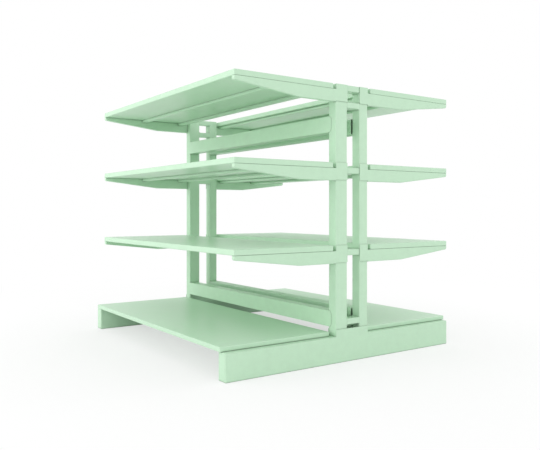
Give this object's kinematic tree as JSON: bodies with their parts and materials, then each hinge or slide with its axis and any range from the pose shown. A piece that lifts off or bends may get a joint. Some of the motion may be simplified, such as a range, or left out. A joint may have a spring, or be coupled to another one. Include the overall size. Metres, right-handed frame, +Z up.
{
  "type": "double-sided cantilever rack",
  "caption": "Free-standing double-sided cantilever rack: end frames of paired uprights on long base legs, tapered arms with boards on both faces, base boards and box rails.",
  "frame": {"origin": "on the floor, under the middle of the rack's box", "axes": "+X along the rack to its right-hand frame, -Y to the front, +Z up"},
  "size_m": [1.737, 1.604, 1.5],
  "materials": {
    "frame_paint": "satin pale green powder coat",
    "board_paint": "satin pale green powder coat",
    "bolt_zinc": "bright zinc plate"
  },
  "bodies": {
    "root": {"arm_back_lower_left": "frame_paint", "arm_back_lower_right": "frame_paint", "arm_back_middle_left": "frame_paint", "arm_back_middle_right": "frame_paint", "arm_back_top_left": "frame_paint", "arm_back_top_right": "frame_paint", "arm_front_lower_left": "frame_paint", "arm_front_lower_right": "frame_paint", "arm_front_middle_left": "frame_paint", "arm_front_middle_right": "frame_paint", "arm_front_top_left": "frame_paint", "arm_front_top_right": "frame_paint", "base_board_back": "board_paint", "base_board_front": "board_paint", "base_bolt_back_left": "bolt_zinc", "base_bolt_back_right": "bolt_zinc", "base_bolt_front_left": "bolt_zinc", "base_bolt_front_right": "bolt_zinc", "base_leg_left": "frame_paint", "base_leg_right": "frame_paint", "board_back_lower": "board_paint", "board_back_middle": "board_paint", "board_back_top": "board_paint", "board_front_lower": "board_paint", "board_front_middle": "board_paint", "board_front_top": "board_paint", "rail_back_lower": "frame_paint", "rail_back_upper": "frame_paint", "rail_front_lower": "frame_paint", "rail_front_upper": "frame_paint", "stiffener_back_lower_centre": "board_paint", "stiffener_back_lower_rear": "board_paint", "stiffener_back_middle_centre": "board_paint", "stiffener_back_middle_rear": "board_paint", "stiffener_back_top_centre": "board_paint", "stiffener_back_top_rear": "board_paint", "stiffener_front_lower_centre": "board_paint", "stiffener_front_lower_rear": "board_paint", "stiffener_front_middle_centre": "board_paint", "stiffener_front_middle_rear": "board_paint", "stiffener_front_top_centre": "board_paint", "stiffener_front_top_rear": "board_paint", "tie_foot_left": "frame_paint", "tie_foot_right": "frame_paint", "tie_lower_left": "frame_paint", "tie_lower_right": "frame_paint", "tie_middle_left": "frame_paint", "tie_middle_right": "frame_paint", "tie_top_left": "frame_paint", "tie_top_right": "frame_paint", "tie_upper_left": "frame_paint", "tie_upper_right": "frame_paint", "upright_back_left": "frame_paint", "upright_back_right": "frame_paint", "upright_front_left": "frame_paint", "upright_front_right": "frame_paint"}
  },
  "joints": []
}
